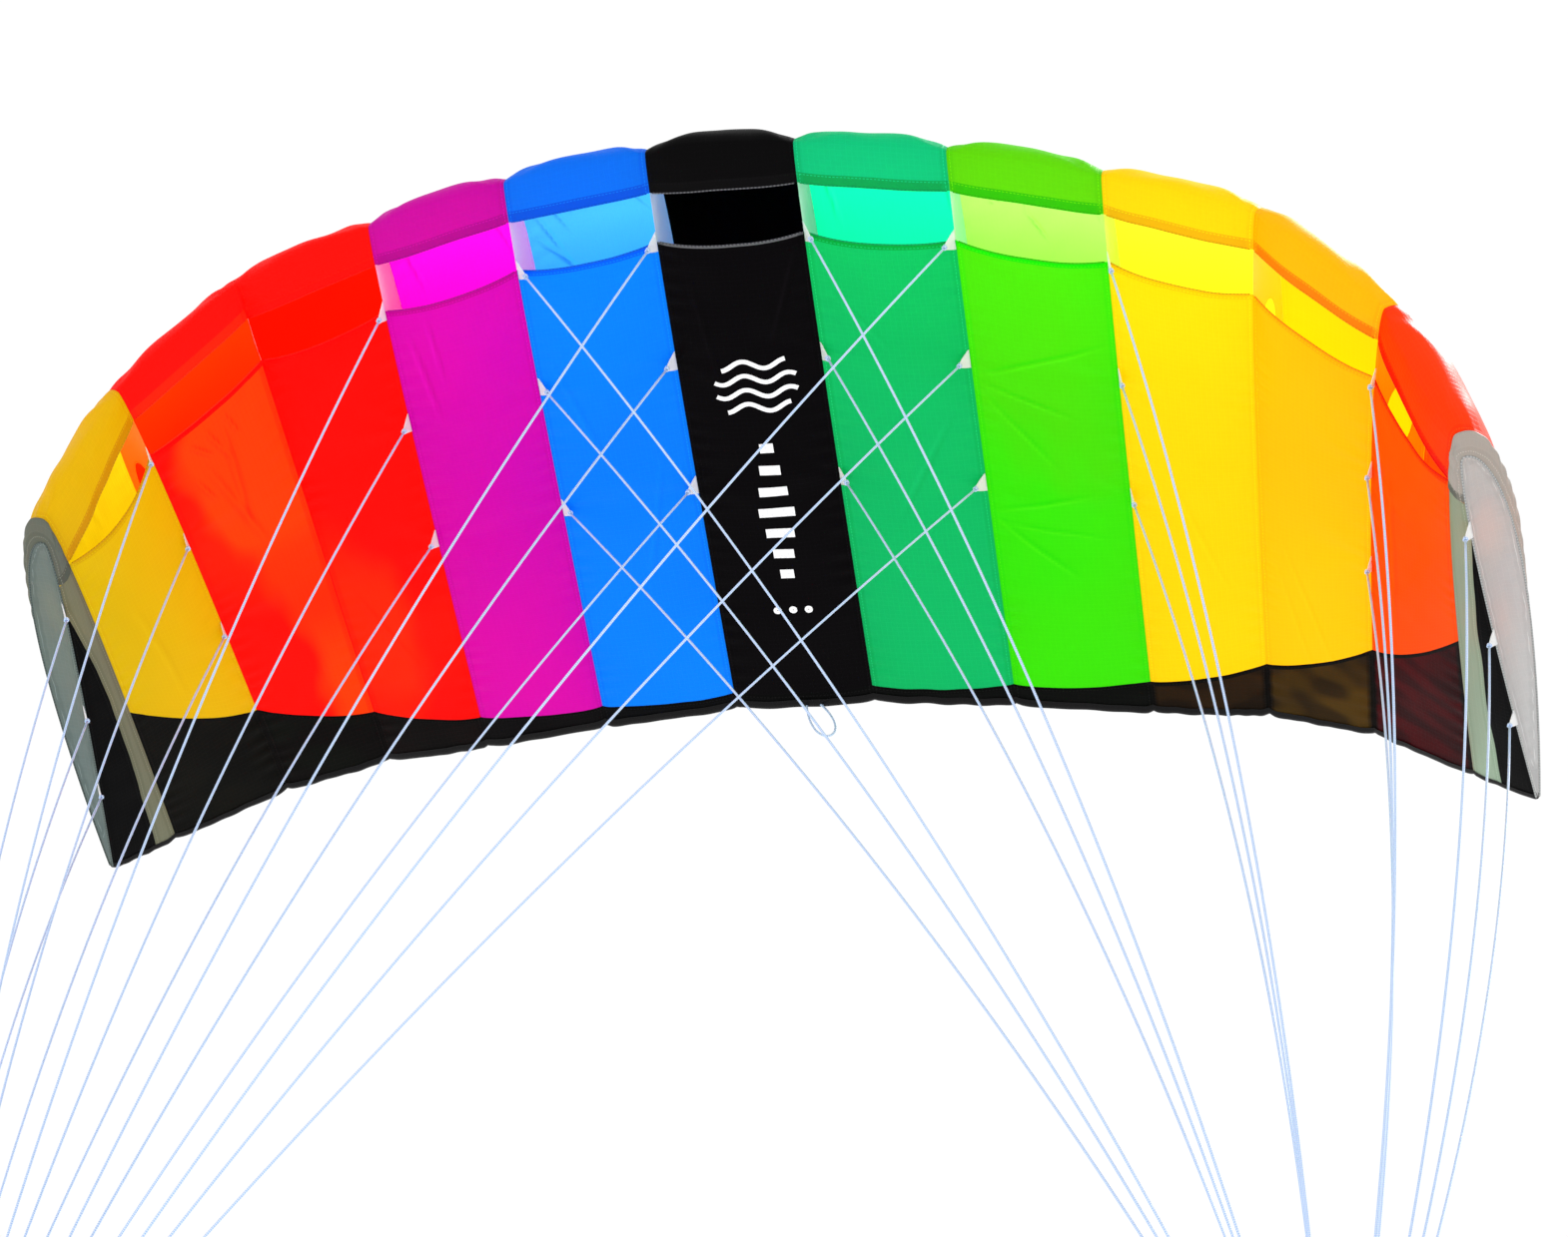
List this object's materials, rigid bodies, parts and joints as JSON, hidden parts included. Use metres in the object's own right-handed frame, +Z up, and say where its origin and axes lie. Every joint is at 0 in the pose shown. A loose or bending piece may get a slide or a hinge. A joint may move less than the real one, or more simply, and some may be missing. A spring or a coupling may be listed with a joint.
{
  "type": "foil kite",
  "caption": "Two-line ram-air foil kite: an arched row of coloured cells open behind the nose, with tabs under its ribs and two fans of bridle lines meeting at two tow points.",
  "frame": {"origin": "midway between the two tow knots, where the left and the right fan of bridle lines end", "axes": "+X along the span, to the right of the picture; -Y the way the nose and its air inlets face; +Z up, from the tow points to the wing"},
  "size_m": [1.3906, 0.6829, 1.44],
  "materials": {
    "grey_ripstop": "calendered ripstop nylon, slightly shiny and translucent",
    "deep_yellow_ripstop": "calendered ripstop nylon, slightly shiny and translucent",
    "red_ripstop": "calendered ripstop nylon, slightly shiny and translucent",
    "magenta_ripstop": "calendered ripstop nylon, slightly shiny and translucent",
    "blue_ripstop": "calendered ripstop nylon, slightly shiny and translucent",
    "black_ripstop": "calendered ripstop nylon, slightly shiny and translucent",
    "green_ripstop": "calendered ripstop nylon, slightly shiny and translucent",
    "lime_ripstop": "calendered ripstop nylon, slightly shiny and translucent",
    "yellow_ripstop": "calendered ripstop nylon, slightly shiny and translucent",
    "amber_ripstop": "calendered ripstop nylon, slightly shiny and translucent",
    "orange_ripstop": "calendered ripstop nylon, slightly shiny and translucent",
    "rib_cloth": "white rib cloth, matt",
    "bridle_line": "thin braided line, pale blue-grey",
    "tail_cord": "thin round braided cord, nearly white"
  },
  "bodies": {
    "root": {"upper_skin_yellow_left": "deep_yellow_ripstop", "upper_skin_red_outer": "red_ripstop", "upper_skin_red_inner": "red_ripstop", "upper_skin_magenta": "magenta_ripstop", "upper_skin_blue": "blue_ripstop", "upper_skin_black_centre": "black_ripstop", "upper_skin_green": "green_ripstop", "upper_skin_lime": "lime_ripstop", "upper_skin_yellow_right": "yellow_ripstop", "upper_skin_amber": "amber_ripstop", "upper_skin_orange": "orange_ripstop", "lower_skin_yellow_left": "deep_yellow_ripstop", "lower_skin_red_outer": "red_ripstop", "lower_skin_red_inner": "red_ripstop", "lower_skin_magenta": "magenta_ripstop", "lower_skin_blue": "blue_ripstop", "lower_skin_black_centre": "black_ripstop", "lower_skin_green": "green_ripstop", "lower_skin_lime": "lime_ripstop", "lower_skin_yellow_right": "yellow_ripstop", "lower_skin_amber": "amber_ripstop", "lower_skin_orange": "orange_ripstop", "trailing_edge_band": "black_ripstop", "rib_01": "rib_cloth", "rib_02": "rib_cloth", "rib_03": "rib_cloth", "rib_04": "rib_cloth", "rib_05": "rib_cloth", "rib_06": "rib_cloth", "rib_07": "rib_cloth", "rib_08": "rib_cloth", "rib_09": "rib_cloth", "rib_10": "rib_cloth", "rib_11": "rib_cloth", "rib_12": "rib_cloth", "bridle_rib_00": "bridle_line", "bridle_rib_02": "bridle_line", "bridle_rib_04": "bridle_line", "bridle_rib_06": "bridle_line", "bridle_rib_08": "bridle_line", "bridle_rib_05": "bridle_line", "bridle_rib_07": "bridle_line", "bridle_rib_09": "bridle_line", "bridle_rib_11": "bridle_line", "bridle_rib_13": "bridle_line", "tow_knot_left": "bridle_line", "tow_knot_right": "bridle_line"},
    "wing_tip_left": {"upper_skin_tip_left": "grey_ripstop", "lower_skin_tip_left": "grey_ripstop", "tip_wedge_left": "black_ripstop", "end_rib_left": "grey_ripstop"},
    "wing_tip_right": {"upper_skin_tip_right": "grey_ripstop", "lower_skin_tip_right": "grey_ripstop", "tip_wedge_right": "black_ripstop", "end_rib_right": "grey_ripstop"},
    "tow_loop_left": {"tow_loop_left": "bridle_line"},
    "tow_loop_right": {"tow_loop_right": "bridle_line"},
    "tail_loop": {"tail_loop": "tail_cord"}
  },
  "joints": [
    {"name": "wing_tip_left_curl", "type": "hinge", "parent": "root", "child": "wing_tip_left", "pos_m": [-0.623, 0.0626, 1.1033], "axis": [-0.0108, -0.9996, -0.0266], "range_deg": [0, 18], "deforming": ["bridle_rib_00"]},
    {"name": "wing_tip_right_curl", "type": "hinge", "parent": "root", "child": "wing_tip_right", "pos_m": [0.623, 0.0626, 1.1033], "axis": [-0.0108, 0.9996, 0.0266], "range_deg": [0, 18], "deforming": ["bridle_rib_13"]},
    {"name": "tow_loop_left_swing", "type": "hinge", "parent": "root", "child": "tow_loop_left", "pos_m": [-0.52, 0, -0.0115], "axis": [1, 0, 0], "range_deg": [-70, 70]},
    {"name": "tow_loop_right_swing", "type": "hinge", "parent": "root", "child": "tow_loop_right", "pos_m": [0.52, 0, -0.0115], "axis": [1, 0, 0], "range_deg": [-70, 70]},
    {"name": "tail_loop_swing", "type": "hinge", "parent": "root", "child": "tail_loop", "pos_m": [0.006, 0.398, 1.1986], "axis": [1, 0, 0], "range_deg": [-15, 85]}
  ]
}
